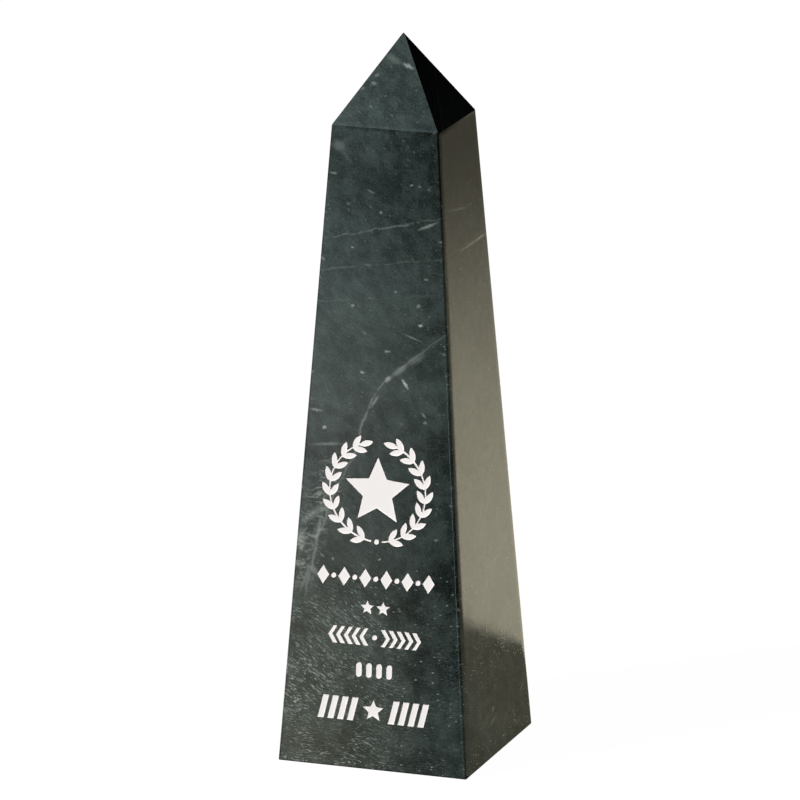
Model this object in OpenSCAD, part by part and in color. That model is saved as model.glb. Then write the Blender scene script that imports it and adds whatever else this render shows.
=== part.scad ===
// Award obelisk: a four-sided tapered shaft of polished stone with a pyramid point.
// Its front face is engraved with a wreath, a star and five rows of ornament, filled with enamel.
// The origin is the centre of the foot, +Z is up and the engraved face looks along -Y.

/* [Stone] */
// Side of the square foot
foot_w = 69.7; // [58:0.1:90]
// Side of the square shoulder, where the point begins
shoulder_w = 39; // [32:0.1:50]
// Height of the shoulder above the foot
shoulder_h = 223.8; // [180:0.2:320]
// Height of the point above the shoulder
point_h = 30.2; // [15:0.2:60]

/* [Edges] */
// How far each upright edge is cut back along the diagonal of the shaft
upright_cut = 0.45; // [0.1:0.05:2]
// How far each sloping edge of the point is cut back along the diagonal
point_cut = 0.15; // [0.05:0.05:1]
// Height and depth of the bevel around the foot
foot_bevel = 0.4; // [0.2:0.1:2]

/* [Engraving] */
// Depth of the engraved recesses below the face
engrave_depth = 0.6; // [0.3:0.05:1.5]
// Thickness of the enamel on the floor of each recess
enamel_t = 0.35; // [0.1:0.05:0.6]
// Height of the lowest row's bottom edge, measured up the face from the foot
lowest_row_up = 16.9; // [8:0.1:20]

/* [Wreath] */
// Outer diameter of the wreath
wreath_d = 41; // [30:0.5:44]
// Width of the band that the leaves fill
wreath_band = 6; // [4:0.25:9]
// Number of leaf pairs on each branch
leaf_pairs = 9; // [5:1:10]
// Length of one leaf
leaf_l = 5.6; // [4:0.1:6.5]
// Width of one leaf
leaf_w = 2.3; // [1:0.1:2.4]
// Angle between a leaf and the branch
leaf_turn = 33; // [25:1:45]
// Width of the branch's stem
stem_w = 0.7; // [0.4:0.1:1]
// Half of the angle left open at the top of the wreath, to the tips of the end leaves
open_top = 6; // [4:1:40]
// Half of the angle left open at the bottom of the wreath
open_foot = 6; // [5:1:30]
// Diameter of the knot between the two stems
knot_d = 2; // [1:0.1:2.4]
// Space between the band of leaves and the points of the star
star_space = 2; // [0.5:0.25:6]
// Inner radius of a star as a part of its outer radius
star_waist = 0.46; // [0.3:0.01:0.6]

/* [Ornament rows] */
// Height of the lozenge row
lozenge_h = 7; // [4:0.1:9]
// Width of one lozenge
lozenge_w = 4.6; // [3:0.1:6]
// Diameter of the beads between the lozenges
bead_d = 2; // [1:0.1:3]
// Number of lozenges
lozenges = 6; // [3:1:6]
// Space between a lozenge and a bead
bead_space = 0.56; // [0.3:0.02:1]
// Outer diameter of each of the two small stars
small_star_d = 5.6; // [4:0.1:6]
// Space between the middles of the two small stars
small_star_pitch = 5.8; // [5.8:0.1:12]
// Height of the chevron row
chevron_h = 6.2; // [4:0.1:8]
// Width of one chevron's stroke, measured along the row
chevron_stroke = 1.7; // [1:0.1:2.5]
// How far the tip of a chevron stands out
chevron_tip = 1.9; // [1:0.1:3]
// Number of chevrons on each side of the middle bead
chevrons = 5; // [2:1:5]
// Space between two chevrons
chevron_space = 1.15; // [0.6:0.05:2]
// Height of the upright pills
pill_h = 5.3; // [4:0.1:7]
// Width of one pill
pill_w = 2.3; // [1.5:0.1:3]
// Number of pills
pills = 4; // [2:1:6]
// Space between two pills
pill_space = 1.4; // [0.6:0.1:2]
// Height of the slanted bars
bar_h = 8.4; // [5:0.1:10]
// Width of one slanted bar, measured along the row
bar_w = 2.5; // [1.5:0.1:3]
// How far the top of a bar stands past its foot
bar_lean = 2; // [0:0.1:3]
// Number of bars on each side of the middle star
bars = 4; // [2:1:4]
// Space between two bars
bar_space = 1.1; // [0.8:0.1:2]
// Space between the lozenge row and the wreath above it
wreath_gap = 6.6; // [3:0.1:10]
// Space between the star row and the lozenge row above it
lozenge_gap = 4; // [2:0.1:6]
// Space between the chevron row and the star row above it
star_gap = 4.5; // [2:0.1:6]
// Space between the pill row and the chevron row above it
chevron_gap = 6; // [2:0.1:8]
// Space between the slanted bars and the pill row above them
pill_gap = 7.3; // [2:0.1:10]

/* [Hidden] */
$fn = 48;

total_h = shoulder_h + point_h;
// Inward run of a face for each millimetre of height
taper = (foot_w - shoulder_w) / 2 / shoulder_h;
face_lean = atan(taper);
slab_l = foot_w * 2;
// How far a cutter stands out of the face that it cuts
clear = 1;
// Points of a star
points = 5;

// Middle of each row and of the wreath, measured up the face from the foot
bars_up = lowest_row_up + bar_h / 2;
pills_up = bars_up + bar_h / 2 + pill_gap + pill_h / 2;
chevrons_up = pills_up + pill_h / 2 + chevron_gap + chevron_h / 2;
stars_up = chevrons_up + chevron_h / 2 + star_gap + small_star_d / 2;
lozenges_up = stars_up + small_star_d / 2 + lozenge_gap + lozenge_h / 2;
wreath_up = lozenges_up + lozenge_h / 2 + wreath_gap + wreath_d / 2;

// The branch runs along the middle of the band
branch_r = wreath_d / 2 - wreath_band / 2;
star_r = wreath_d / 2 - wreath_band - star_space;
lozenge_pitch = lozenge_w + bead_d + 2 * bead_space;

// ---- flat outlines ----

function star_points(r) = [
    for (i = [0 : 2 * points - 1])
        let (a = 90 + i * 180 / points, at = i % 2 == 0 ? r : r * star_waist)
            [at * cos(a), at * sin(a)]
];

module star(r) {
    polygon(star_points(r));
}

// A pointed oval between two arcs, from the origin to its tip along +Y
module leaf() {
    r = (leaf_l * leaf_l + leaf_w * leaf_w) / (4 * leaf_w);
    translate([0, leaf_l / 2])
        intersection() {
            translate([r - leaf_w / 2, 0]) circle(r = r);
            translate([leaf_w / 2 - r, 0]) circle(r = r);
        }
}

// The part of a ring about the origin from angle first to angle last, less than half a turn
module ring_part(r, w, first, last) {
    reach = 2 * r;
    middle = (first + last) / 2;
    intersection() {
        difference() {
            circle(r = r + w / 2);
            circle(r = r - w / 2);
        }
        polygon([
            [0, 0],
            reach * [cos(first), sin(first)],
            reach * [cos(middle), sin(middle)],
            reach * [cos(last), sin(last)],
        ]);
    }
}

// The branch climbs from the open foot of the wreath to its open top, on the +X side
module branch() {
    leaf_span = leaf_l / branch_r * 180 / PI;
    first = -90 + open_foot;
    last = 90 - open_top - leaf_span;
    step = (last - first) / leaf_pairs;
    ring_part(branch_r, stem_w, first, last + leaf_span / 4);
    for (i = [1 : leaf_pairs])
        rotate(first + (i - 0.5) * step)
            translate([branch_r, 0])
                for (side = [-1, 1])
                    rotate(leaf_span / 2 + side * leaf_turn) leaf();
    rotate(last) translate([branch_r, 0]) rotate(leaf_span / 2) leaf();
}

// The knot closes the wreath between the feet of its two stems
module knot() {
    translate([0, -branch_r]) circle(d = knot_d);
}

module lozenge() {
    polygon([[-lozenge_w / 2, 0], [0, -lozenge_h / 2], [lozenge_w / 2, 0], [0, lozenge_h / 2]]);
}

module lozenges_and_beads() {
    for (i = [0 : lozenges - 1])
        translate([(i - (lozenges - 1) / 2) * lozenge_pitch, 0]) lozenge();
    for (i = [0 : lozenges - 2])
        translate([(i - (lozenges - 2) / 2) * lozenge_pitch, 0]) circle(d = bead_d);
}

module small_stars() {
    for (side = [-1, 1])
        translate([side * small_star_pitch / 2, 0]) star(small_star_d / 2);
}

// A chevron that starts at x = 0 and points along +X
module chevron() {
    polygon([
        [0, -chevron_h / 2],
        [chevron_stroke, -chevron_h / 2],
        [chevron_stroke + chevron_tip, 0],
        [chevron_stroke, chevron_h / 2],
        [0, chevron_h / 2],
        [chevron_tip, 0],
    ]);
}

module chevrons_and_bead() {
    circle(d = bead_d);
    for (side = [0, 1])
        mirror([side, 0])
            for (i = [0 : chevrons - 1])
                translate([bead_d / 2 + chevron_space + i * (chevron_stroke + chevron_space), 0]) chevron();
}

module pill() {
    square([pill_w, pill_h - pill_w], center = true);
    for (side = [-1, 1])
        translate([0, side * (pill_h - pill_w) / 2]) circle(d = pill_w);
}

module upright_pills() {
    for (i = [0 : pills - 1])
        translate([(i - (pills - 1) / 2) * (pill_w + pill_space), 0]) pill();
}

module slanted_bar() {
    polygon([
        [-bar_w / 2 - bar_lean / 2, -bar_h / 2],
        [bar_w / 2 - bar_lean / 2, -bar_h / 2],
        [bar_w / 2 + bar_lean / 2, bar_h / 2],
        [-bar_w / 2 + bar_lean / 2, bar_h / 2],
    ]);
}

module bars_and_star() {
    star(bar_h / 2);
    first = bar_h / 2 + bar_space + (bar_w + bar_lean) / 2;
    for (side = [-1, 1])
        for (i = [0 : bars - 1])
            translate([side * (first + i * (bar_w + bar_space)), 0]) slanted_bar();
}

// ---- placing on the face ----

// Lays a flat outline on the leaning front face and makes it a plate from z = from to z = to
module on_face(up, from, to) {
    translate([0, -foot_w / 2, 0])
        rotate([90 - face_lean, 0, 0])
            translate([0, up, from])
                linear_extrude(height = to - from) children();
}

module recess(up) {
    on_face(up, -engrave_depth, clear) children();
}

module enamel(up) {
    color("#f0ebe8") on_face(up, -engrave_depth, enamel_t - engrave_depth) children();
}

// ---- stone ----

// A slab whose outline stands upright in the XZ plane, turned about the middle of the stone
module upright_slab(turn, outline) {
    rotate([90, 0, turn])
        linear_extrude(height = slab_l, center = true) polygon(outline);
}

// Shaft, point and foot bevel as they show from straight in front of a face
module face_slab(turn) {
    half = foot_w / 2;
    upright_slab(turn, [
        [foot_bevel - half, 0],
        [half - foot_bevel, 0],
        [half - taper * foot_bevel, foot_bevel],
        [shoulder_w / 2, shoulder_h],
        [0, total_h],
        [-shoulder_w / 2, shoulder_h],
        [taper * foot_bevel - half, foot_bevel],
    ]);
}

// The pair of planes that cut back two opposite upright edges
module upright_edge_slab(turn) {
    low = foot_w / sqrt(2) - upright_cut;
    high = low - taper * sqrt(2) * total_h;
    upright_slab(turn, [[-low, 0], [low, 0], [high, total_h], [-high, total_h]]);
}

// The pair of planes that cut back two opposite sloping edges of the point
module point_edge_slab(turn) {
    run = shoulder_w / sqrt(2) / point_h;
    tip = total_h - point_cut / run;
    upright_slab(turn, [[-run * tip, 0], [run * tip, 0], [0, tip]]);
}

module block() {
    intersection() {
        face_slab(0);
        face_slab(90);
        upright_edge_slab(45);
        upright_edge_slab(135);
        point_edge_slab(45);
        point_edge_slab(135);
    }
}

module obelisk() {
    color("#2f3d39")
        difference() {
            block();
            recess(wreath_up) branch();
            recess(wreath_up) mirror([1, 0]) branch();
            recess(wreath_up) knot();
            recess(wreath_up) star(star_r);
            recess(lozenges_up) lozenges_and_beads();
            recess(stars_up) small_stars();
            recess(chevrons_up) chevrons_and_bead();
            recess(pills_up) upright_pills();
            recess(bars_up) bars_and_star();
        }
}

// ---- enamel ----

module wreath_right() {
    enamel(wreath_up) branch();
}

module wreath_left() {
    enamel(wreath_up) mirror([1, 0]) branch();
}

module wreath_knot() {
    enamel(wreath_up) knot();
}

module centre_star() {
    enamel(wreath_up) star(star_r);
}

module lozenge_row() {
    enamel(lozenges_up) lozenges_and_beads();
}

module twin_stars() {
    enamel(stars_up) small_stars();
}

module chevron_row() {
    enamel(chevrons_up) chevrons_and_bead();
}

module pill_row() {
    enamel(pills_up) upright_pills();
}

module slant_row() {
    enamel(bars_up) bars_and_star();
}

obelisk();
wreath_left();
wreath_right();
wreath_knot();
centre_star();
lozenge_row();
twin_stars();
chevron_row();
pill_row();
slant_row();
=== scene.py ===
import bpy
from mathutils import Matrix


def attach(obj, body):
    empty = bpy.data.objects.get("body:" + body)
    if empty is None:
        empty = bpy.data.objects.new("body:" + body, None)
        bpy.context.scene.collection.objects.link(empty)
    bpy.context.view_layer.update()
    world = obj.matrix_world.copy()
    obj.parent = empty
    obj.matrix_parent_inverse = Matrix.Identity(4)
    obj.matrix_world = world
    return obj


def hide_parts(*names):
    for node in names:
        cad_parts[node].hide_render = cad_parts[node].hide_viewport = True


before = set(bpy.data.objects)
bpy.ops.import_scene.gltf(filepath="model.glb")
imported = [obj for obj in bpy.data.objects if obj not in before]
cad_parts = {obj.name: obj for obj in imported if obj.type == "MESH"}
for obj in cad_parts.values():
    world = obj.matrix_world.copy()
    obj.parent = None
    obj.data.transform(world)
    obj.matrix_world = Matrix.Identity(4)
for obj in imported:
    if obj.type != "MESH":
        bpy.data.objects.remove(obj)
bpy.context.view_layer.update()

import math

import bmesh
import bpy
from bpy.props import FloatProperty, FloatVectorProperty, PointerProperty
from mathutils import Matrix, Vector

bl_info = {
    "name": "Award obelisk",
    "version": (1, 0, 0),
    "blender": (4, 5, 0),
    "location": "3D View > Sidebar > Obelisk",
    "description": "Builds a polished marble award obelisk and the studio around it",
    "category": "Object",
}

MM = 0.001

# Points closer than this are one point, and a cut this close to a point goes through it
MERGE_DISTANCE = 0.001 * MM
CUT_TOLERANCE = 0.0001 * MM

# How far the engraving tool reaches out of the face
TOOL_REACH = 1.5 * MM

# Faces that turn less than this are one flat face: in a copy of a CAD node, and in the sawn stone
CAD_FLAT_ANGLE = math.radians(0.5)
SAWN_FLAT_ANGLE = math.radians(0.2)

# Edges that turn more than this are rounded, and edges that turn less are shaded smooth
ROUNDED_ANGLE = math.radians(35.0)
STONE_SMOOTH_ANGLE = math.radians(30.0)
ENAMEL_SMOOTH_ANGLE = math.radians(40.0)

# A face looks along a direction when the cosine between them is above this
FACING_COSINE = 0.9

STONE_NODE = "obelisk"
ENAMEL_NODES = [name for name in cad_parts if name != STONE_NODE]


# ---- settings ----

def colour(name, description, default):
    """A colour setting, in linear light."""
    return FloatVectorProperty(
        name=name, description=description, subtype="COLOR", size=3, min=0.0, max=4.0, default=default
    )


def length(name, description, default):
    """A length setting, in metres."""
    return FloatProperty(name=name, description=description, unit="LENGTH", precision=5, default=default)


class StoneSettings(bpy.types.PropertyGroup):
    """Sizes and colours of the stone."""

    foot_w: length("Foot width", "Side of the square foot", 0.0697)
    shoulder_w: length("Shoulder width", "Side of the square shoulder", 0.0390)
    shoulder_h: length("Shoulder height", "Height of the shoulder above the foot", 0.2238)
    point_h: length("Point height", "Height of the point above the shoulder", 0.0302)
    foot_bevel: length("Foot bevel", "Height and depth of the bevel around the foot", 0.0004)
    shoulder_round: length("Shoulder rounding", "Radius of the rounding along the shoulder", 0.0085)
    rounding: length("Foot rounding", "Width of the rounding on the edges of the foot's bevel", 0.0001)
    ground_dark: colour("Dark ground", "Darkest tone of the stone", (0.0050, 0.0085, 0.0078))
    ground_pale: colour("Pale ground", "Palest tone of the cloudy ground", (0.0560, 0.0760, 0.0700))
    fleck: colour("Flecks", "Colour of the flecks and hair streaks", (0.33, 0.37, 0.34))
    vein: colour("Veins", "Colour of the veins", (0.23, 0.255, 0.235))


class EnamelSettings(bpy.types.PropertyGroup):
    """Shape and colour of the enamel in the engraving."""

    tint: colour("Enamel", "Colour of the enamel", (0.735, 0.695, 0.68))
    rim: length("Rim", "Width of the enamel's rounded rim", 0.00008)


class StageSettings(bpy.types.PropertyGroup):
    """Camera, floor and light."""

    azimuth: FloatProperty(
        name="Azimuth", description="Turn of the camera to the right of the engraved face",
        subtype="ANGLE", default=math.radians(20.013),
    )
    elevation: FloatProperty(
        name="Elevation", description="Camera's angle above the horizon",
        subtype="ANGLE", default=math.radians(14.945),
    )
    roll: FloatProperty(
        name="Roll", description="Turn of the camera about its own axis",
        subtype="ANGLE", default=math.radians(-0.2071),
    )
    distance: length("Distance", "From the camera to the middle of its view", 2.6553)
    aim_height: length("Aim height", "Height of the middle of the view", 0.123608)
    aim_side: length("Aim offset", "Sideways offset of the view", -0.001656)
    lens: FloatProperty(name="Lens", description="Focal length of the camera in mm", default=345.7)
    floor: colour("Floor", "Colour of the floor", (0.99, 0.99, 0.99))
    # Parts of the table colour above 1 are painted light: they make the mirrored table brighter than its
    # lights do
    table: colour("Table", "Colour of the table that the polish mirrors", (1.10, 1.02, 0.76))
    key_power: FloatProperty(
        name="Key light", description="Power of the main light", subtype="POWER", default=425.0
    )
    side_power: FloatProperty(
        name="Side light", description="Power of the weaker side lights", subtype="POWER", default=4.0
    )
    lamp_power: FloatProperty(
        name="Low lamp", description="Power of the low lamp on the right", subtype="POWER", default=3.6
    )


# ---- modelling helpers ----

def deselect():
    """Leaves nothing selected and no object active."""
    bpy.ops.object.select_all(action="DESELECT")
    bpy.context.view_layer.objects.active = None


def pick(obj):
    """Makes obj the only selected object."""
    deselect()
    obj.select_set(True)
    bpy.context.view_layer.objects.active = obj


def edit(obj):
    """Opens obj in edit mode with nothing selected, set to select faces."""
    pick(obj)
    bpy.ops.object.mode_set(mode="EDIT")
    bpy.ops.mesh.select_mode(type="FACE")
    bpy.ops.mesh.select_all(action="DESELECT")


def close_edit():
    """Leaves edit mode."""
    bpy.ops.object.mode_set(mode="OBJECT")


def select_facing(obj, direction):
    """Selects the faces of the mesh in edit mode that look along direction."""
    mesh = bmesh.from_edit_mesh(obj.data)
    for face in mesh.faces:
        face.select_set(face.normal.dot(direction) > FACING_COSINE)
    mesh.select_flush_mode()
    bmesh.update_edit_mesh(obj.data)


def cut_away(point, normal):
    """Cuts the mesh in edit mode along a plane, drops what is beyond it and closes the cut."""
    bpy.ops.mesh.select_all(action="SELECT")
    bpy.ops.mesh.bisect(
        plane_co=point, plane_no=normal, use_fill=True, clear_outer=True, threshold=CUT_TOLERANCE
    )


def apply_modifier(obj, name, kind, **settings):
    """Adds a modifier to obj, sets it and applies it."""
    modifier = obj.modifiers.new(name, kind)
    for key, value in settings.items():
        setattr(modifier, key, value)
    pick(obj)
    bpy.ops.object.modifier_apply(modifier=name)


def shade(obj, angle):
    """Shades obj smooth up to an angle, with flats that stay even next to their rounded edges."""
    pick(obj)
    bpy.ops.object.shade_smooth_by_angle(angle=angle)
    apply_modifier(obj, "even_shading", "WEIGHTED_NORMAL", keep_sharp=True, weight=100)


def copy_of(node, name):
    """A copy of a CAD node with its own mesh, its doubles merged and its flats dissolved."""
    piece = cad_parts[node].copy()
    piece.data = piece.data.copy()
    piece.name = piece.data.name = name
    piece.parent = None
    piece.matrix_world = Matrix.Identity(4)
    bpy.context.collection.objects.link(piece)
    edit(piece)
    bpy.ops.mesh.select_all(action="SELECT")
    bpy.ops.mesh.remove_doubles(threshold=MERGE_DISTANCE)
    bpy.ops.mesh.dissolve_limited(angle_limit=CAD_FLAT_ANGLE)
    close_edit()
    return piece


# ---- material helpers ----

class Nodes:
    """Writes a material's nodes. Every method takes numbers or sockets and returns a socket."""

    def __init__(self, name):
        self.material = bpy.data.materials.new(name)
        self.material.use_nodes = True
        self.tree = self.material.node_tree
        self.tree.nodes.clear()

    def add(self, kind, inputs=(), **settings):
        """Adds a node, sets it and feeds its inputs."""
        node = self.tree.nodes.new(kind)
        for key, value in settings.items():
            setattr(node, key, value)
        for key, value in dict(inputs).items():
            self.feed(node.inputs[key], value)
        return node

    def feed(self, socket, value):
        """Links value to the socket if it is a socket, or else sets it there."""
        if isinstance(value, bpy.types.NodeSocket):
            self.tree.links.new(value, socket)
        else:
            socket.default_value = value

    def math(self, operation, *values):
        return self.add("ShaderNodeMath", enumerate(values), operation=operation).outputs[0]

    def chained(self, operation, values):
        """Joins all the values with one operation, from the first to the last."""
        total = values[0]
        for value in values[1:]:
            total = self.math(operation, total, value)
        return total

    def add_up(self, *values):
        return self.chained("ADD", values)

    def product(self, *values):
        return self.chained("MULTIPLY", values)

    def strongest(self, *values):
        return self.chained("MAXIMUM", values)

    def step(self, value, low, high, out_low=0.0, out_high=1.0):
        """A smooth step from out_low at low to out_high at high."""
        inputs = {"Value": value, "From Min": low, "From Max": high, "To Min": out_low, "To Max": out_high}
        return self.add("ShaderNodeMapRange", inputs, interpolation_type="SMOOTHSTEP").outputs[0]

    def mix(self, part, first, second):
        """A colour between first and second."""
        node = self.add("ShaderNodeMix", data_type="RGBA", clamp_factor=True)
        self.feed(node.inputs[0], part)
        for socket, value in ((node.inputs[6], first), (node.inputs[7], second)):
            self.feed(socket, value if isinstance(value, bpy.types.NodeSocket) else (*value, 1.0))
        return node.outputs[2]

    def vector(self, operation, *values, output=0):
        return self.add("ShaderNodeVectorMath", enumerate(values), operation=operation).outputs[output]

    def scaled(self, vector, amount):
        inputs = {0: vector, "Scale": amount}
        return self.add("ShaderNodeVectorMath", inputs, operation="SCALE").outputs[0]

    def mapped(self, vector, stretch, turn=(0.0, 0.0, 0.0)):
        inputs = {"Vector": vector, "Rotation": turn, "Scale": stretch}
        return self.add("ShaderNodeMapping", inputs).outputs[0]

    def split(self, vector):
        return self.add("ShaderNodeSeparateXYZ", {0: vector}).outputs

    def noise(self, vector, size, detail=2.0, roughness=0.5, distortion=0.0, output=0):
        """Soft noise whose blobs measure about size."""
        inputs = {
            "Vector": vector, "Scale": 1.0 / size, "Detail": detail,
            "Roughness": roughness, "Distortion": distortion,
        }
        return self.add("ShaderNodeTexNoise", inputs).outputs[output]

    def cells(self, vector, size):
        """Scattered points: the distance to the nearest one in cells, and its own random colour."""
        inputs = {"Vector": vector, "Scale": 1.0 / size}
        return self.add("ShaderNodeTexVoronoi", inputs).outputs

    def object_mm(self):
        """Object coordinates in millimetres."""
        place = self.add("ShaderNodeTexCoord").outputs["Object"]
        return self.scaled(place, 1.0 / MM)

    def finish(self, waves, **inputs):
        """Closes the material with a Principled shader. Its surface is uneven by waves, in mm."""
        shader = self.add("ShaderNodeBsdfPrincipled")
        for key, value in inputs.items():
            self.feed(shader.inputs[key.replace("_", " ")], value)
        bump = self.add("ShaderNodeBump", {"Height": waves, "Distance": MM, "Strength": 1.0})
        self.feed(shader.inputs["Normal"], bump.outputs[0])
        self.add("ShaderNodeOutputMaterial", {"Surface": shader.outputs[0]})
        return self.material


# ---- marble ----

# Lone strokes of the front face, in mm and degrees: across, up, half length, half width, tilt,
# strength
FRONT_STROKES = (
    (4.2, 243.4, 2.6, 0.7, -20.0, 0.5),
    (-1.5, 245.2, 4.2, 1.2, -22.0, 0.12),
    (-6.4, 240.0, 1.0, 0.7, 0.0, 0.22),
    (-7.0, 237.4, 1.2, 0.8, 0.0, 0.26),
    (-10.5, 235.6, 0.9, 0.6, 0.0, 0.2),
    (-16.2, 217.0, 3.0, 2.4, 0.0, 0.17),
    (-13.4, 213.4, 4.4, 0.8, -48.0, 0.09),
    (-14.0, 218.8, 3.4, 1.2, 28.0, 0.07),
    (-18.0, 207.4, 1.8, 0.6, 0.0, 0.32),
    (16.5, 191.6, 4.6, 0.6, 24.0, 0.4),
    (10.3, 205.3, 0.8, 0.5, 20.0, 0.42),
    (13.2, 205.0, 0.8, 0.5, -20.0, 0.36),
    (-4.4, 202.0, 2.0, 0.5, -25.0, 0.25),
    (-12.5, 197.3, 0.8, 0.6, 0.0, 0.22),
    (-0.5, 195.1, 0.7, 0.5, 0.0, 0.5),
    (-10.7, 182.3, 0.7, 0.5, 0.0, 0.6),
    (-10.3, 162.1, 0.8, 0.6, 0.0, 0.5),
    (5.3, 168.0, 0.7, 0.5, 0.0, 0.35),
    (13.7, 163.8, 1.0, 0.8, 40.0, 0.42),
    (11.7, 152.7, 4.2, 0.45, -18.0, 0.3),
    (14.3, 157.1, 1.1, 0.6, 0.0, 0.8),
    (2.8, 147.2, 1.4, 0.6, 10.0, 0.55),
    (9.4, 136.4, 2.3, 0.7, -58.0, 1.0),
    (-6.2, 139.2, 1.1, 0.6, -10.0, 0.7),
    (3.2, 137.7, 1.8, 1.1, 40.0, 0.6),
    (7.4, 141.0, 4.0, 1.2, 38.0, 0.3),
    (13.0, 145.3, 4.5, 1.6, 36.0, 0.16),
    (-1.5, 129.5, 3.2, 0.7, 56.0, 0.4),
    (16.3, 126.2, 1.6, 0.5, -40.0, 0.4),
    (16.8, 123.6, 0.8, 0.6, 0.0, 0.45),
    (-22.8, 124.8, 2.8, 0.6, -5.0, 0.42),
    (-19.8, 118.9, 0.9, 0.8, 0.0, 0.85),
    (-18.5, 113.2, 6.5, 0.7, 6.0, 0.28),
    (-23.0, 88.5, 7.5, 1.8, 37.0, 0.26),
    (-27.6, 78.5, 2.4, 5.0, 0.0, 0.24),
    (-22.5, 68.5, 3.2, 1.3, -45.0, 0.3),
    (-21.2, 83.0, 8.0, 0.9, 79.0, 0.32),
    (-25.6, 66.0, 6.5, 0.9, 70.0, 0.26),
    (5.0, 94.0, 0.6, 0.6, 0.0, 0.5),
    (1.4, 74.5, 0.7, 0.6, 0.0, 0.6),
    (-15.7, 73.2, 0.7, 0.6, 0.0, 0.5),
)

# Lone strokes of the right face, measured from front to back instead of across
RIGHT_STROKES = (
    (6.5, 179.8, 16.0, 0.55, 0.0, 0.6),
    (15.0, 179.9, 7.0, 0.7, 0.0, 0.85),
    (-6.0, 194.5, 13.0, 0.5, -8.0, 0.4),
    (-5.0, 45.5, 1.3, 0.6, 80.0, 0.5),
    (10.0, 40.5, 1.2, 0.6, 80.0, 0.5),
    (-17.0, 42.0, 4.5, 0.35, -28.0, 0.3),
    (-5.0, 12.5, 4.5, 0.7, 15.0, 0.3),
    (-4.0, 16.5, 1.6, 0.8, 20.0, 0.5),
    (14.5, 133.5, 0.8, 0.6, 0.0, 0.5),
    (-5.0, 124.0, 0.8, 0.6, 0.0, 0.4),
    (16.0, 162.5, 0.8, 0.6, 0.0, 0.5),
    (26.0, 16.0, 3.0, 0.45, 30.0, 0.35),
)

# Sizes in mm of the cloudy ground, its mottles and its grain
CLOUD_SIZE = 24.0
MOTTLE_SIZE = 4.6
GRAIN_SIZE = 0.42

# Depth in mm of the lone strokes, which run right through the stone
THROUGH = 200.0

STONE_IOR = 1.6
ENAMEL_IOR = 1.5

# Thin veins: height in mm, its rise for each mm to the right and to the back, half width in mm,
# gaps, strength
BED_VEINS = (
    (188.4, 0.24, -0.05, 0.5, 0.5, 0.4),
    (177.6, 0.15, 0.02, 0.5, 0.47, 0.24),
    (167.0, 0.13, 0.06, 0.5, 0.5, 0.14),
)

# Main vein: the heights in mm where its curve begins and ends, and how far across the front face
# the curve's 0 and 1 are, in mm
VEIN_HEIGHTS = (50.0, 155.0)
VEIN_SPAN = (-30.0, 30.0)
VEIN_CURVE = (
    (0.0, 0.0), (0.14, 0.06), (0.33, 0.15), (0.46, 0.25), (0.6, 0.37),
    (0.7, 0.42), (0.8, 0.51), (0.88, 0.66), (1.0, 0.93),
)


def centred_noise(n, place, size, detail, roughness):
    """Soft noise about 0."""
    return n.math("SUBTRACT", n.noise(place, size, detail, roughness), 0.5)


def bedding(n, place):
    """Coordinates in which the stone's beds lie flat. Low on the left the beds dip to the right."""
    x, y, z = n.split(place)
    dip = n.step(z, 8.0, 50.0, 0.1, 0.5)
    dip_into = 0.12
    bend_at, bend_size = 10.0, 14.0
    leftward = n.math("SMOOTH_MIN", x, bend_at, bend_size)
    level = n.add_up(z, n.product(dip, leftward), n.product(y, dip_into))
    drift_depth = 9.0
    drift = centred_noise(n, place, size=CLOUD_SIZE, detail=2.0, roughness=0.5)
    level = n.add_up(level, n.product(drift, drift_depth))
    return n.add("ShaderNodeCombineXYZ", {0: x, 1: y, 2: level}).outputs[0]


def ground_tone(n, place, beds):
    """Cloudy tone of the ground from 0, dark, to 1, pale."""
    x, _y, z = n.split(place)
    clouds = n.noise(place, CLOUD_SIZE, detail=3.0, roughness=0.55)
    mottle = n.noise(beds, MOTTLE_SIZE, detail=3.0, roughness=0.55)
    grain = n.noise(place, GRAIN_SIZE, detail=1.0, roughness=0.7)
    pale_middle = n.product(n.step(z, 112.0, 140.0), n.step(z, 196.0, 160.0), 0.16)
    darker_top = n.step(z, 160.0, 215.0, 0.0, -0.06)
    dark_below = n.product(n.step(z, 112.0, 70.0, 0.4, 1.0), n.step(z, 44.0, 58.0, 0.35, 1.0))
    dark_right = n.product(n.step(x, -4.0, 18.0), dark_below, -0.22)
    tone = n.add_up(
        n.step(clouds, 0.32, 0.68, 0.04, 0.38),
        n.step(mottle, 0.34, 0.7, 0.04, 0.34),
        n.step(grain, 0.25, 0.75, -0.16, 0.26),
        pale_middle,
        darker_top,
        dark_right,
    )
    return n.math("MAXIMUM", tone, 0.0)


def hair_streaks(n, place, beds):
    """Short pale hairs that lie along the beds, thickest near the foot."""
    x, _y, z = n.split(place)
    low = n.step(z, 74.0, 46.0, 0.1, 1.0)
    leftward = n.step(x, 20.0, -12.0, 0.2, 1.0)
    patches = n.step(n.noise(beds, 9.0, detail=2.0, roughness=0.5), 0.36, 0.62, 0.2, 1.0)
    long_hairs = n.noise(n.mapped(beds, (0.2, 0.2, 1.9)), 1.0, detail=2.0, roughness=0.6)
    fine_hairs = n.noise(n.mapped(beds, (0.62, 0.62, 3.4)), 1.0, detail=2.0, roughness=0.65)
    hairs = n.add_up(n.step(long_hairs, 0.54, 0.7, 0.0, 0.3), n.step(fine_hairs, 0.57, 0.69, 0.0, 1.0))
    return n.product(hairs, low, leftward, patches)


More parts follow.
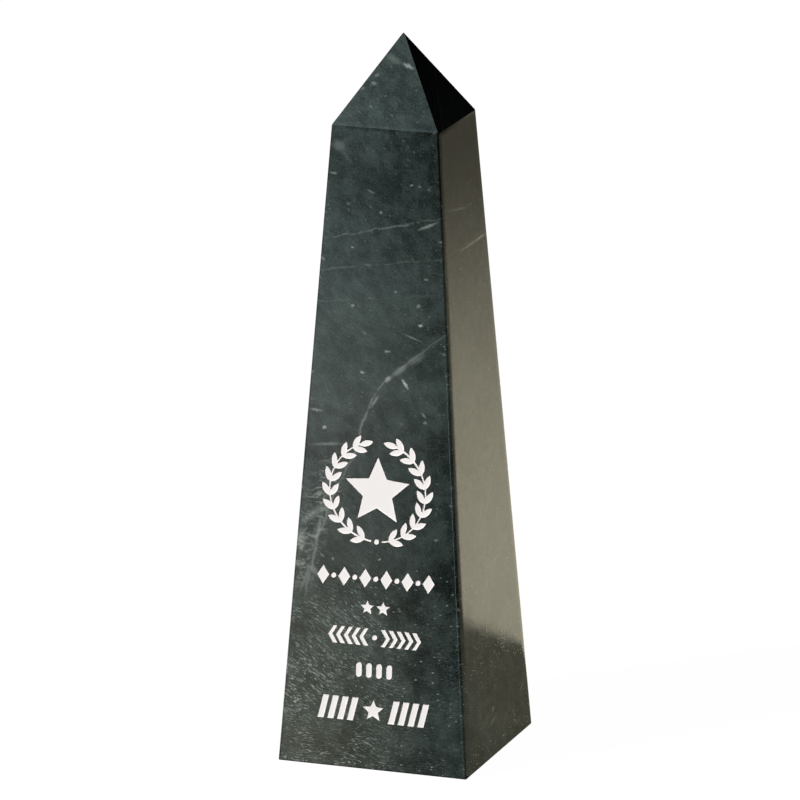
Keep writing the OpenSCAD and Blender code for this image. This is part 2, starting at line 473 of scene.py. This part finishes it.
def scattered_flecks(n, beds, size, radius, share):
    """Flecks scattered through the stone: a cell measures size, and share of them hold a fleck."""
    distance, chance = n.cells(n.mapped(beds, (0.7, 0.7, 1.3)), size)[:2]
    red, green, _blue = n.add("ShaderNodeSeparateColor", {0: chance}).outputs
    body = n.step(n.math("DIVIDE", distance, radius / size), 1.0, 0.3)
    present = n.math("LESS_THAN", red, share)
    return n.product(body, present, n.step(green, 0.0, 1.0, 0.2, 1.0))


def lone_strokes(n, place, strokes, across_axis):
    """The few large strokes of one face, each a flattened and tilted ball."""
    fuzz_size, fuzz_depth = 0.9, 1.3
    noise = n.noise(place, fuzz_size, detail=2.0, roughness=0.7, output=1)
    fuzz = n.vector("SUBTRACT", noise, (0.5, 0.5, 0.5))
    fuzzy = n.vector("ADD", place, n.scaled(fuzz, fuzz_depth))
    found = 0.0
    for across, up, half_l, half_w, tilt, strength in strokes:
        if across_axis == 0:
            spot = {
                "Location": (across, 0.0, up), "Rotation": (0.0, -math.radians(tilt), 0.0),
                "Scale": (half_l, THROUGH, half_w),
            }
        else:
            spot = {
                "Location": (0.0, across, up), "Rotation": (math.radians(tilt), 0.0, 0.0),
                "Scale": (THROUGH, half_l, half_w),
            }
        local = n.add("ShaderNodeMapping", {"Vector": fuzzy, **spot}, vector_type="TEXTURE").outputs[0]
        far = n.vector("LENGTH", local, output=1)
        found = n.math("MAXIMUM", found, n.step(far, 1.15, 0.25, 0.0, strength))
    return found


def sheet_vein(n, away, width, place, gaps, strength):
    """A thin pale sheet through the stone, where away is 0. Gaps from 0 to 1 break it up."""
    wander_depth = 3.2
    wander = centred_noise(n, place, size=7.0, detail=4.0, roughness=0.6)
    off = n.math("ABSOLUTE", n.add_up(away, n.product(wander, wander_depth)))
    body = n.step(off, width, 0.0)
    broken = n.step(n.noise(place, 6.5, detail=3.0, roughness=0.65), gaps - 0.12, gaps + 0.14)
    return n.product(body, broken, strength)


def bed_veins(n, place):
    """The three thin veins that rise gently to the right across the upper shaft."""
    x, y, z = n.split(place)
    veins = []
    for height, rise, rise_back, width, gaps, strength in BED_VEINS:
        plane = n.add_up(height, n.product(x, rise), n.product(y, rise_back))
        veins.append(sheet_vein(n, n.math("SUBTRACT", z, plane), width, place, gaps, strength))
    return n.strongest(*veins)


def main_vein(n, place):
    """The strong vein that comes in at the right edge and swings down to the lower left."""
    x, y, z = n.split(place)
    bottom, top = VEIN_HEIGHTS
    span = n.add("ShaderNodeMapRange", {"Value": z, "From Min": bottom, "From Max": top}).outputs[0]
    path = n.add("ShaderNodeFloatCurve", {"Value": span})
    points = path.mapping.curves[0].points
    points[0].location, points[-1].location = VEIN_CURVE[0], VEIN_CURVE[-1]
    for up, across in VEIN_CURVE[1:-1]:
        points.new(up, across)
    path.mapping.update()
    left, right = VEIN_SPAN
    across = n.math("MULTIPLY_ADD", path.outputs[0], right - left, left)
    front_y, slant = -27.0, 0.5
    into = n.product(n.math("SUBTRACT", y, front_y), slant)
    away = n.add_up(x, n.product(across, -1.0), into)
    core = sheet_vein(n, away, width=0.85, place=place, gaps=0.36, strength=0.5)
    halo = n.step(n.math("ABSOLUTE", away), 5.0, 0.0, 0.0, 0.07)
    alive = n.product(n.step(z, 56.0, 66.0), n.step(z, 150.0, 136.0, 0.45, 1.0))
    return n.product(n.strongest(core, halo), alive)


def brushed_patches(n, place):
    """Pale brushed patches beside the main vein, on the left of the engraved face."""
    x, y, z = n.split(place)
    strength = 0.85
    lean, offset = -0.36, 54.0
    path = n.add_up(x, n.product(z, lean), offset)
    beside = n.product(n.step(n.math("ABSOLUTE", path), 9.0, 1.5), n.step(y, 8.0, -16.0))
    tall = n.product(n.step(z, 58.0, 72.0), n.step(z, 116.0, 98.0))
    brushed = n.mapped(place, (0.22, 0.3, 0.42), turn=(0.0, 0.95, 0.0))
    strokes = n.noise(brushed, 1.0, detail=6.0, roughness=0.74, distortion=1.2)
    return n.product(beside, tall, n.step(strokes, 0.47, 0.64), strength)


def edge_chips(n, place, stone):
    """Tiny bright chips along the upright edges."""
    x, y, z = n.split(place)
    out = n.add_up(n.math("ABSOLUTE", x), n.math("ABSOLUTE", y))
    corner = n.math("SUBTRACT", stone.foot_w / MM, n.product(z, 2 * shaft_taper(stone)))
    on_edge = n.step(n.math("SUBTRACT", corner, out), 2.4, 1.2)
    chips = n.step(n.noise(place, 1.6, detail=3.0, roughness=0.7), 0.63, 0.72)
    return n.product(on_edge, chips, 0.5)


def marble(stone):
    """Polished dark green-black marble with pale hairs, flecks and veins."""
    n = Nodes("marble")
    place = n.object_mm()
    beds = bedding(n, place)
    x, y, z = n.split(place)
    tone = ground_tone(n, place, beds)
    hairs = hair_streaks(n, place, beds)
    dust = n.product(
        scattered_flecks(n, beds, size=1.5, radius=0.42, share=0.3),
        n.step(z, 84.0, 40.0, 0.2, 0.75),
        n.step(n.math("ADD", x, y), -2.0, 6.0, 1.0, 1.7),
    )
    crumbs = n.product(scattered_flecks(n, beds, size=5.0, radius=0.8, share=0.4), 0.34)
    faces_front = n.math("SUBTRACT", n.product(y, -1.0), n.math("ABSOLUTE", x))
    faces_right = n.math("SUBTRACT", x, n.math("ABSOLUTE", y))
    front = n.product(lone_strokes(n, place, FRONT_STROKES, 0), n.step(faces_front, -0.5, 0.5))
    right = n.product(lone_strokes(n, place, RIGHT_STROKES, 1), n.step(faces_right, -0.5, 0.5))
    flecks = n.strongest(dust, crumbs, front, right, edge_chips(n, place, stone))
    veins = n.strongest(bed_veins(n, place), main_vein(n, place))
    clouds = brushed_patches(n, place)
    base = n.mix(tone, tuple(stone.ground_dark), tuple(stone.ground_pale))
    base = n.mix(n.math("MAXIMUM", clouds, veins), base, tuple(stone.vein))
    base = n.mix(n.math("MAXIMUM", hairs, flecks), base, tuple(stone.fleck))
    dull = n.strongest(hairs, veins, flecks, clouds)
    polish = n.step(n.noise(place, 18.0, detail=3.0, roughness=0.6), 0.3, 0.7, 0.07, 0.12)
    roughness = n.add_up(polish, n.product(dull, 0.12))
    swell = n.product(n.noise(place, 16.0, detail=1.0), 0.012)
    pores = n.product(n.noise(place, 0.7, detail=1.0), 0.0006)
    waves = n.add_up(swell, pores)
    gloss = n.step(n.noise(beds, 3.4, detail=3.0, roughness=0.65), 0.32, 0.68, 0.43, 0.57)
    return n.finish(
        waves, Base_Color=base, Roughness=roughness, IOR=STONE_IOR, Specular_IOR_Level=gloss
    )


def enamel(settings):
    """Off-white enamel, a little uneven and dull."""
    n = Nodes("enamel")
    place = n.object_mm()
    tone = n.step(n.noise(place, 2.4, detail=3.0, roughness=0.6), 0.3, 0.7)
    tint = tuple(settings.tint)
    dimmed = 0.93
    base = n.mix(tone, tuple(dimmed * part for part in tint), tint)
    roughness = n.step(n.noise(place, 1.1, detail=2.0, roughness=0.5), 0.3, 0.7, 0.42, 0.6)
    brushed = n.product(n.noise(place, 1.4, detail=2.0, roughness=0.5), 0.03)
    grain = n.product(n.noise(place, 0.2, detail=1.0), 0.004)
    waves = n.add_up(brushed, grain)
    return n.finish(waves, Base_Color=base, Roughness=roughness, IOR=ENAMEL_IOR)


# ---- pieces ----

# Polished arris, from the face towards the corner: where each facet starts, measured along the
# face from the sharp corner in mm, and how many degrees it turns from the face
UPRIGHT_ARRIS = ((4.4, 0.6), (3.0, 2.0), (1.8, 5.5), (1.1, 14.0), (0.65, 45.0))
POINT_ARRIS = ((2.6, 2.0), (1.8, 5.0), (1.2, 11.0), (0.7, 22.0), (0.35, 45.0))
CORNER_ANGLE = 45.0

# Facets of the rounded shoulder, from the shaft's slope at -1 to the point's at 1
SHOULDER_FACETS = (-0.75, -0.5, -0.25, 0.0, 0.25, 0.5, 0.75)


def shaft_taper(stone):
    """How far one face of the shaft leans in for each metre of its height."""
    return (stone.foot_w - stone.shoulder_w) / 2 / stone.shoulder_h


def face_normal(stone):
    """Outward normal of the leaning front face."""
    return Vector((0.0, -1.0, shaft_taper(stone))).normalized()


def corner_saws(turn, half, up, lean, arris):
    """Saw cuts that round one upright or sloping corner, mirrored about its 45 degree facet."""
    saws = []
    depth = 0.0
    for index, (reach, angle) in enumerate(arris):
        cos, sin = math.cos(math.radians(angle)), math.sin(math.radians(angle))
        out = (half - depth * MM) * cos + (half - reach * MM) * sin
        saws.append((turn + angle, out, up, lean * (cos + sin)))
        if angle < CORNER_ANGLE:
            saws.append((turn + 90.0 - angle, out, up, lean * (cos + sin)))
            depth += (reach - arris[index + 1][0]) * math.tan(math.radians(angle))
    return saws


def shoulder_saws(turn, half, up, taper, slope, radius):
    """Saw cuts that round the shoulder between one side of the shaft and the point."""
    low, high = math.atan(taper), math.atan(slope)
    middle, spread = (low + high) / 2, (high - low) / 2
    saws = []
    for share in SHOULDER_FACETS:
        tilt = middle + share * spread
        depth = radius * (math.cos(tilt - middle) / math.cos(spread) - 1.0)
        saws.append((turn, half - depth / math.cos(tilt), up, math.tan(tilt)))
    return saws


def cut_stone(stone):
    """The bare stone: a block that is sawn to its four faces, its point, its arrises and its foot."""
    total_h = stone.shoulder_h + stone.point_h
    deselect()
    bpy.ops.mesh.primitive_cube_add(
        size=1.0, location=(0.0, 0.0, total_h / 2), scale=(stone.foot_w, stone.foot_w, total_h)
    )
    block = bpy.context.active_object
    block.name = block.data.name = "stone"
    bpy.ops.object.transform_apply(location=True, rotation=True, scale=True)

    taper = shaft_taper(stone)
    slope = stone.shoulder_w / 2 / stone.point_h
    half_foot = stone.foot_w / 2
    half_shoulder = stone.shoulder_w / 2
    saws = []
    for flat in (0.0, 90.0, 180.0, 270.0):
        saws += [
            (flat, half_foot, 0.0, taper),
            (flat, half_shoulder, stone.shoulder_h, slope),
            (flat, half_foot - stone.foot_bevel * (1.0 + taper), 0.0, -1.0),
        ]
        saws += corner_saws(flat, half_foot, 0.0, taper, UPRIGHT_ARRIS)
        saws += corner_saws(flat, half_shoulder, stone.shoulder_h, slope, POINT_ARRIS)
        saws += shoulder_saws(flat, half_shoulder, stone.shoulder_h, taper, slope, stone.shoulder_round)
    edit(block)
    for turn, out, up, lean in saws:
        spin = Matrix.Rotation(math.radians(turn), 4, "Z")
        cut_away(spin @ Vector((out, 0.0, up)), spin @ Vector((1.0, 0.0, lean)).normalized())
    bpy.ops.mesh.select_all(action="SELECT")
    bpy.ops.mesh.remove_doubles(threshold=MERGE_DISTANCE)
    bpy.ops.mesh.dissolve_limited(angle_limit=SAWN_FLAT_ANGLE)
    bpy.ops.mesh.normals_make_consistent(inside=False)
    close_edit()
    return block


def engraving_tool(stone, material):
    """All recesses as one cutter: each enamel outline, drawn out through the face."""
    out = face_normal(stone)
    tools = []
    for node in ENAMEL_NODES:
        tool = copy_of(node, "tool_" + node)
        tool.data.materials.clear()
        tool.data.materials.append(material)
        edit(tool)
        select_facing(tool, out)
        bpy.ops.transform.translate(value=out * TOOL_REACH)
        close_edit()
        tools.append(tool)
    deselect()
    for tool in tools:
        tool.select_set(True)
    bpy.context.view_layer.objects.active = tools[0]
    bpy.ops.object.join()
    tools[0].name = "engraving_tool"
    return tools[0]


class OBELISK_OT_stone(bpy.types.Operator):
    """Sawn, engraved and polished stone"""

    bl_idname = "obelisk.stone"
    bl_label = "Stone"

    def execute(self, context):
        stone = context.scene.obelisk_stone
        block = cut_stone(stone)
        apply_modifier(
            block, "polish", "BEVEL", width=stone.rounding, segments=3,
            limit_method="ANGLE", angle_limit=ROUNDED_ANGLE,
        )
        block.data.materials.append(marble(stone))
        tool = engraving_tool(stone, enamel(context.scene.obelisk_enamel))
        apply_modifier(
            block, "engrave", "BOOLEAN", operation="DIFFERENCE", object=tool,
            solver="EXACT", material_mode="TRANSFER",
        )
        bpy.data.objects.remove(tool)
        shade(block, STONE_SMOOTH_ANGLE)
        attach(block, "root")
        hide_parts(STONE_NODE)
        return {"FINISHED"}


class OBELISK_OT_enamel(bpy.types.Operator):
    """Enamel in every engraved recess, with a rounded rim"""

    bl_idname = "obelisk.enamel"
    bl_label = "Enamel"

    def execute(self, context):
        settings = context.scene.obelisk_enamel
        out = face_normal(context.scene.obelisk_stone)
        painted = bpy.data.materials["enamel"]
        for node in ENAMEL_NODES:
            fill = copy_of(node, node + "_enamel")
            fill.data.materials.clear()
            fill.data.materials.append(painted)
            edit(fill)
            select_facing(fill, out)
            bpy.ops.mesh.region_to_loop()
            bpy.ops.mesh.bevel(offset=settings.rim, segments=2, affect="EDGES", clamp_overlap=True)
            close_edit()
            shade(fill, ENAMEL_SMOOTH_ANGLE)
            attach(fill, "root")
            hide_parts(node)
        return {"FINISHED"}


# ---- stage ----

# The lit middle of the stone, and soft lights by their direction from it, distance and size
LIT_MIDDLE = Vector((0.0, 0.0, 0.12))
KEY_LIGHT = ((-0.5052, -0.5756, 0.643), 5.0, 0.15)
LEFT_FILL = ((-0.95, 0.25, 0.2), 1.6, 0.6)
BACK_FILL = ((-0.3, 0.93, 0.2), 1.6, 0.6)

# The low lamp: its place, what it looks at, its beam, the size of its bulb and its colour
LAMP_PLACE = (0.42, 0.02, 0.02)
LAMP_TARGET = (0.03, 0.0, 0.085)
LAMP_BEAM = math.radians(36.0)
LAMP_SIZE = 0.03
LAMP_COLOUR = (1.0, 0.92, 0.76)

# Cards and floors by their middle and their size, in metres
REFLECTOR = ((-0.28, -0.455, 0.05), (0.44, 0.30))
STRIP = ((0.03, -0.455, 0.0), (0.03, 0.2))
FLOOR = ((0.0, 0.0), 8.0)
TABLE = ((0.4, 1.07), 2.2)

# Share of the light that falls on the floor and comes back, and the painted glow of the mirrored table
FLOOR_MATTE = 0.02
TABLE_PAINTED_GLOW = 0.125

# The table's painted pool of light in mm: its middle, how far its painted light reaches, and the point
# from which a straight edge runs back, with painted shadow beyond it on the right
PAINTED_LIGHT_PATCH = (150.0, 300.0, 0.0)
PAINTED_LIGHT_REACH = 870.0
PAINTED_SHADOW_EDGE_FROM = (28.0, -28.0)

# Tones of the room by height: the sine of the angle above the horizon, and the tone there
ROOM_TONES = (
    (0.40, (0.004, 0.005, 0.005)),
    (0.54, (0.80, 0.96, 1.15)),
    (0.72, (0.27, 0.37, 0.37)),
)

# The camera's sensor in mm, and how near and how far it sees in metres
SENSOR_WIDTH = 36.0
CLIP_RANGE = (0.1, 30.0)


def aim(obj, place, target):
    """Puts obj at place, looking at target."""
    obj.location = place
    obj.rotation_mode = "QUATERNION"
    obj.rotation_quaternion = (Vector(target) - Vector(place)).to_track_quat("-Z", "Y")


def place_light(name, data, place, target):
    """Adds a light that shows neither to the camera nor in the polish."""
    light = bpy.data.objects.new(name, data)
    bpy.context.collection.objects.link(light)
    aim(light, place, target)
    light.visible_glossy = False
    light.visible_camera = False


def soft_light(name, direction, distance, size, power):
    """A square soft light that looks at the middle of the stone from a direction."""
    data = bpy.data.lights.new(name, "AREA")
    data.shape = "SQUARE"
    data.size = size
    data.energy = power
    place_light(name, data, LIT_MIDDLE + Vector(direction).normalized() * distance, LIT_MIDDLE)


def low_lamp(name, power):
    """A soft spot that shows the flecks low on the right face and stops short of the point."""
    data = bpy.data.lights.new(name, "SPOT")
    data.spot_size = LAMP_BEAM
    data.spot_blend = 0.5
    data.shadow_soft_size = LAMP_SIZE
    data.energy = power
    data.color = LAMP_COLOUR
    place_light(name, data, LAMP_PLACE, LAMP_TARGET)


def add_camera(stage):
    """The camera, placed by its angles about the stone's own axis."""
    a, e = stage.azimuth, stage.elevation
    back = Vector((math.sin(a) * math.cos(e), -math.cos(a) * math.cos(e), math.sin(e)))
    right = Vector((0.0, 0.0, 1.0)).cross(back).normalized()
    up = back.cross(right)
    data = bpy.data.cameras.new("camera")
    data.lens = stage.lens
    data.sensor_width = SENSOR_WIDTH
    data.clip_start, data.clip_end = CLIP_RANGE
    camera = bpy.data.objects.new("camera", data)
    bpy.context.collection.objects.link(camera)
    place = Vector((0.0, 0.0, stage.aim_height)) + right * stage.aim_side + back * stage.distance
    turned_right = right * math.cos(stage.roll) + up * math.sin(stage.roll)
    turned_up = up * math.cos(stage.roll) - right * math.sin(stage.roll)
    basis = Matrix((turned_right, turned_up, back)).transposed().to_4x4()
    camera.matrix_world = Matrix.Translation(place) @ basis
    bpy.context.scene.camera = camera


def add_floor(name, middle, size, material):
    """A large flat floor at the height of the foot."""
    deselect()
    bpy.ops.mesh.primitive_plane_add(size=size, location=(*middle, 0.0))
    floor = bpy.context.active_object
    floor.name = floor.data.name = name
    bpy.ops.object.transform_apply(location=True, rotation=True, scale=True)
    floor.data.materials.append(material)
    return floor


def pale_floor_material(stage):
    """A pale floor that glows, so that shadows on it stay faint."""
    n = Nodes("pale_floor")
    glow = n.add("ShaderNodeEmission", {"Color": (*stage.floor, 1.0), "Strength": 1.0})
    dim = tuple(FLOOR_MATTE * part for part in stage.floor)
    matte = n.add("ShaderNodeBsdfDiffuse", {"Color": (*dim, 1.0)})
    both = n.add("ShaderNodeAddShader", {0: glow.outputs[0], 1: matte.outputs[0]})
    n.add("ShaderNodeOutputMaterial", {"Surface": both.outputs[0]})
    return n.material


def table_material(stage):
    """The warm matte table. Its colour holds a painted pool of light that fades and ends in painted shadow
    at a straight edge.
    """
    n = Nodes("mirrored_table")
    place = n.object_mm()
    away = n.vector("DISTANCE", place, PAINTED_LIGHT_PATCH, output=1)
    x, y, _z = n.split(place)
    from_x, from_y = PAINTED_SHADOW_EDGE_FROM
    sideways = n.math("DIVIDE", n.math("SUBTRACT", x, from_x), n.math("SUBTRACT", y, from_y))
    # Painted light and shadow: brightest at the pool's middle, fading with distance, dark past the
    # straight edge
    lit = n.product(n.step(away, 0.0, PAINTED_LIGHT_REACH, 1.0, 0.09), n.step(sideways, 0.4, 0.48, 1.0, 0.1))
    tint = n.scaled(tuple(stage.table), lit)
    matte = n.add("ShaderNodeBsdfDiffuse", {"Color": tint})
    # The glow is painted light that stands in for room light on the table, seen most in its shaded parts
    glow = n.add("ShaderNodeEmission", {"Color": (*stage.table, 1.0), "Strength": TABLE_PAINTED_GLOW})
    both = n.add("ShaderNodeAddShader", {0: matte.outputs[0], 1: glow.outputs[0]})
    n.add("ShaderNodeOutputMaterial", {"Surface": both.outputs[0]})
    return n.material


def reflector_material():
    """A glowing card that fades to the right, warm below and cool above."""
    n = Nodes("reflector")
    x, _y, z = n.split(n.object_mm())
    across = n.step(x, -112.0, -190.0)
    upward = n.product(n.step(z, 55.0, 130.0, 0.8, 0.45), n.step(z, 125.0, 165.0, 1.0, 0.8))
    low = n.mix(n.step(z, -70.0, 40.0), (1.0, 0.91, 0.64), (1.0, 1.03, 0.97))
    tint = n.mix(n.step(z, 60.0, 160.0), low, (0.75, 0.98, 1.02))
    glow = n.add("ShaderNodeEmission", {"Color": tint, "Strength": n.product(across, upward)})
    n.add("ShaderNodeOutputMaterial", {"Surface": glow.outputs[0]})
    return n.material


def strip_material():
    """A narrow glowing strip that draws a thin line along the polished arris."""
    n = Nodes("strip_glow")
    _x, _y, z = n.split(n.object_mm())
    strength = n.step(z, -45.0, 5.0, 1.4, 4.2)
    glow = n.add("ShaderNodeEmission", {"Color": (0.75, 1.0, 0.95, 1.0), "Strength": strength})
    n.add("ShaderNodeOutputMaterial", {"Surface": glow.outputs[0]})
    return n.material


def add_card(name, middle, size, material):
    """An upright card in front of the stone. It shows only in the polish."""
    upright = (math.radians(90.0), 0.0, 0.0)
    deselect()
    bpy.ops.mesh.primitive_plane_add(size=1.0, location=middle, rotation=upright)
    card = bpy.context.active_object
    card.name = card.data.name = name
    card.scale = (*size, 1.0)
    bpy.ops.object.transform_apply(location=True, rotation=True, scale=True)
    card.data.materials.append(material)
    only_in_polish(card)


def only_in_polish(obj):
    """Hides obj from everything but mirror-like reflections."""
    obj.visible_camera = False
    obj.visible_diffuse = False
    obj.visible_shadow = False


def add_world():
    """White for the camera. The polish mirrors a dark room with a bright band and a dim ceiling."""
    world = bpy.data.worlds.new("room")
    bpy.context.scene.world = world
    world.use_nodes = True
    tree = world.node_tree
    tree.nodes.clear()

    def node(kind):
        return tree.nodes.new(kind)

    place, parts, ramp, rays = (
        node("ShaderNodeTexCoord"), node("ShaderNodeSeparateXYZ"),
        node("ShaderNodeValToRGB"), node("ShaderNodeLightPath"),
    )
    tree.links.new(place.outputs["Generated"], parts.inputs[0])
    tree.links.new(parts.outputs[2], ramp.inputs[0])
    stops = ramp.color_ramp.elements
    stops.new(0.5)
    for stop, (position, tone) in zip(stops, ROOM_TONES):
        stop.position = position
        stop.color = (*tone, 1.0)
    room, white, either = (
        node("ShaderNodeBackground"), node("ShaderNodeBackground"), node("ShaderNodeMixShader"),
    )
    tree.links.new(ramp.outputs[0], room.inputs[0])
    white.inputs[0].default_value = (1.0, 1.0, 1.0, 1.0)
    tree.links.new(rays.outputs["Is Camera Ray"], either.inputs[0])
    tree.links.new(room.outputs[0], either.inputs[1])
    tree.links.new(white.outputs[0], either.inputs[2])
    output = node("ShaderNodeOutputWorld")
    tree.links.new(either.outputs[0], output.inputs[0])
    world.cycles_visibility.diffuse = False


class OBELISK_OT_stage(bpy.types.Operator):
    """Camera, floor, light and room"""

    bl_idname = "obelisk.stage"
    bl_label = "Stage"

    def execute(self, context):
        stage = context.scene.obelisk_stage
        context.scene.view_settings.view_transform = "Standard"
        add_camera(stage)
        floor = add_floor("floor", *FLOOR, pale_floor_material(stage))
        floor.visible_glossy = False
        floor.visible_diffuse = False
        floor.visible_shadow = False
        table = add_floor("mirrored_table", *TABLE, table_material(stage))
        only_in_polish(table)
        add_card("reflector", *REFLECTOR, reflector_material())
        add_card("strip", *STRIP, strip_material())
        soft_light("key", *KEY_LIGHT, stage.key_power)
        low_lamp("right_lamp", stage.lamp_power)
        soft_light("left_fill", *LEFT_FILL, stage.side_power)
        soft_light("back_fill", *BACK_FILL, stage.side_power)
        add_world()
        return {"FINISHED"}


class OBELISK_PT_panel(bpy.types.Panel):
    """Lists the settings and the operators"""

    bl_idname = "OBELISK_PT_panel"
    bl_label = "Obelisk"
    bl_space_type = "VIEW_3D"
    bl_region_type = "UI"
    bl_category = "Obelisk"

    def draw(self, context):
        scene = context.scene
        for group in (scene.obelisk_stone, scene.obelisk_enamel, scene.obelisk_stage):
            box = self.layout.box()
            for key in group.__annotations__:
                box.prop(group, key)
        for operator in (OBELISK_OT_stone, OBELISK_OT_enamel, OBELISK_OT_stage):
            self.layout.operator(operator.bl_idname)


CLASSES = (
    StoneSettings, EnamelSettings, StageSettings,
    OBELISK_OT_stone, OBELISK_OT_enamel, OBELISK_OT_stage, OBELISK_PT_panel,
)


def register():
    for kind in CLASSES:
        bpy.utils.register_class(kind)
    bpy.types.Scene.obelisk_stone = PointerProperty(type=StoneSettings)
    bpy.types.Scene.obelisk_enamel = PointerProperty(type=EnamelSettings)
    bpy.types.Scene.obelisk_stage = PointerProperty(type=StageSettings)


def unregister():
    for name in ("obelisk_stone", "obelisk_enamel", "obelisk_stage"):
        delattr(bpy.types.Scene, name)
    for kind in reversed(CLASSES):
        bpy.utils.unregister_class(kind)


def main():
    register()
    bpy.ops.obelisk.stone()
    bpy.ops.obelisk.enamel()
    bpy.ops.obelisk.stage()


if __name__ == "__main__":
    main()
